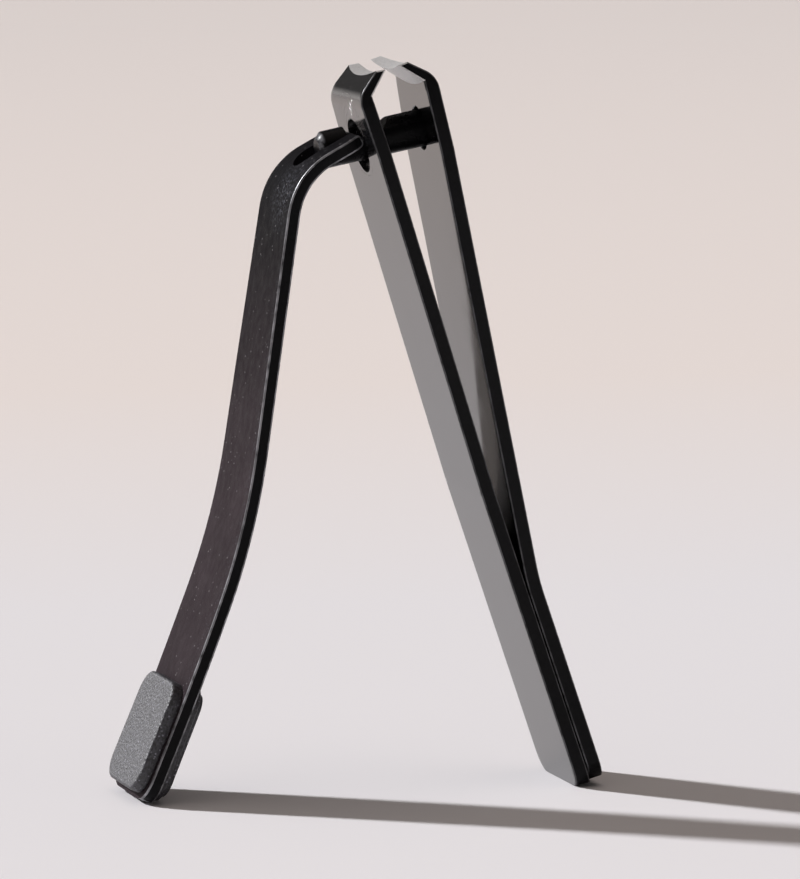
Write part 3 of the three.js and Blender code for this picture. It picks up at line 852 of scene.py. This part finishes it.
def slot_cutter():
    """The slot open at the nose, with a round end towards the bend."""
    heading = math.radians(180 + NOSE_DROP)
    along = Vector((math.cos(heading), 0, math.sin(heading)))
    across = Vector((0, 1, 0))
    radius = SLOT_WIDTH / 2
    turns = [math.pi * k / SLOT_STEPS for k in range(SLOT_STEPS + 1)]
    arc = [(radius * math.cos(turn), SLOT_REAR - radius + radius * math.sin(turn)) for turn in turns]
    outline = [(-radius, -SLOT_PAST_NOSE), (radius, -SLOT_PAST_NOSE), *arc]
    return prism("cutter", outline, SLOT_CUT_DEPTH, BAR, across, along, along.cross(across))


def add_lever():
    side = lever_edge_material()
    # the lever's rounded edges carry worn coating with a brighter painted highlight
    mesh = lever_mesh([lever_material(), side, worn_edge_highlight_material("lever_worn_edge_highlight", 0.3)])
    mesh = cut_away(mesh, slot_cutter())
    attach(finish_piece("press_lever", mesh, "lever"), "lever")

    reach = SLOT_WIDTH / 2 + BAR_OVERLAP
    bar = revolve("nose_bar", [(BAR_RADIUS, -reach), (BAR_RADIUS, reach)], BAR, Vector((0, 1, 0)), BAR_SIDES)
    bar.materials.append(side)
    for face in bar.polygons:
        face.use_smooth = len(face.vertices) == 4
    piece = bpy.data.objects.new("lever_nose_bar", bar)
    SCENE.collection.objects.link(piece)
    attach(piece, "lever")


# ---------- grip pads ----------

def pad_frame(node, lever_side):
    """From the CAD solid: an origin on the pad's back, directions along it and out of it, and its sizes."""
    points = [vertex.co for vertex in frame["nodes"][node].data.vertices]
    centre = middle(node)
    xx = sum((p.x - centre.x) ** 2 for p in points)
    zz = sum((p.z - centre.z) ** 2 for p in points)
    xz = sum((p.x - centre.x) * (p.z - centre.z) for p in points)
    lean = 0.5 * math.atan2(2 * xz, xx - zz)
    along = Vector((math.cos(lean), 0, math.sin(lean)))
    out = Vector((-along.z, 0, along.x))
    if out.dot(Vector((lever_side, 0, 0))) < 0:
        out = -out
    spans = [[(p - centre).dot(way) for p in points] for way in (along, out)]
    (low, high), (back, face) = [(min(span), max(span)) for span in spans]
    origin = centre + along * (low + high) / 2 + out * back
    width = max(p.y for p in points)
    return origin, along, out, (high - low) / 2, width, face - back


def rounded_outline(half_length, half_width, radius):
    """Points of a rectangle with round corners, the same number of them whatever its size."""
    points = []
    for quarter in range(4):
        x, y = ((1, 1), (-1, 1), (-1, -1), (1, -1))[quarter]
        centre = (x * (half_length - radius), y * (half_width - radius))
        for step in range(PAD_CORNER_STEPS + 1):
            angle = (quarter + step / PAD_CORNER_STEPS) * math.pi / 2
            points.append((centre[0] + radius * math.cos(angle), centre[1] + radius * math.sin(angle)))
    return points


def add_pad(name, node, lever_side, layers, material):
    """A pad built in layers, each an inset from the outline and a height, in millimetres."""
    origin, along, out, half_length, half_width, thickness = pad_frame(node, lever_side)
    across = Vector((0, 1, 0))
    rings = []
    for narrowing, height in layers:
        outline = rounded_outline(half_length - narrowing * MM, half_width - narrowing * MM,
                                  max(PAD_CORNER - narrowing * MM, PAD_LEAST_CORNER))
        lift = thickness + height * MM if height < 0 else height * MM
        rings.append([origin + along * x + across * y + out * lift for x, y in outline])
    mesh = stacked(name, rings)
    mesh.materials.append(material)
    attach(finish_piece(name, mesh, node), "lever")


def round_edge(radius, steps):
    """Layers that turn a pad's side over into its face."""
    turns = [math.pi / 2 * step / steps for step in range(steps + 1)]
    return [(radius * (1 - math.cos(turn)), -radius * (1 - math.sin(turn)) + AT_FACE) for turn in turns]


def add_pads():
    material = pad_material()
    outer = [*PAD_BACK, *round_edge(PAD_EDGE_ROUND, PAD_EDGE_STEPS), *OUTER_PAD_FACE]
    add_pad("outer_pad", "outer_grip_pad", -1, outer, material)
    rim = [(PAD_RIM_INSET + deeper, height) for deeper, height in round_edge(PAD_RIM_ROUND, PAD_RIM_STEPS)]
    inner = [*PAD_BACK, *INNER_PAD_SIDE, *rim, *INNER_PAD_DISH]
    add_pad("inner_pad", "inner_grip_pad", 1, inner, material)


add_camera()
add_lights()
add_floor()

add_arms()
add_pin()
add_lever()
add_pads()
